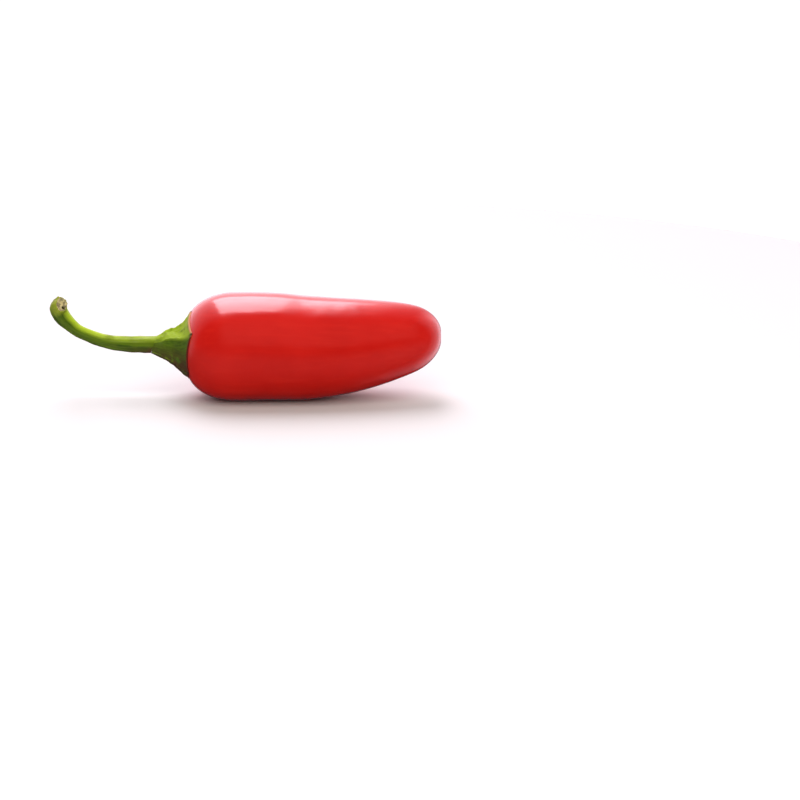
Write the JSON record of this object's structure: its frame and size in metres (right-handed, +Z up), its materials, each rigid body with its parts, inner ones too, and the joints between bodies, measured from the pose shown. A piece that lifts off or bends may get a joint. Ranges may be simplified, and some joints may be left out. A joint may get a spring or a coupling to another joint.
{
  "type": "chilli pepper",
  "caption": "Ripe red chilli pepper with a blunt tapering pod, a six-cornered green calyx and a long stem that hooks upward, lying on its side.",
  "frame": {"origin": "on the surface the pepper lies on, under the middle of its overall box", "axes": "+X from the stem to the tip of the pod, +Z up, +Y to the left of someone looking along +X"},
  "size_m": [0.1078, 0.0304, 0.0296],
  "materials": {
    "pod_skin": "gloss",
    "calyx_green": "satin",
    "stem_green": "satin"
  },
  "bodies": {
    "root": {"pod": "pod_skin", "calyx": "calyx_green", "stem": "stem_green"}
  },
  "joints": []
}
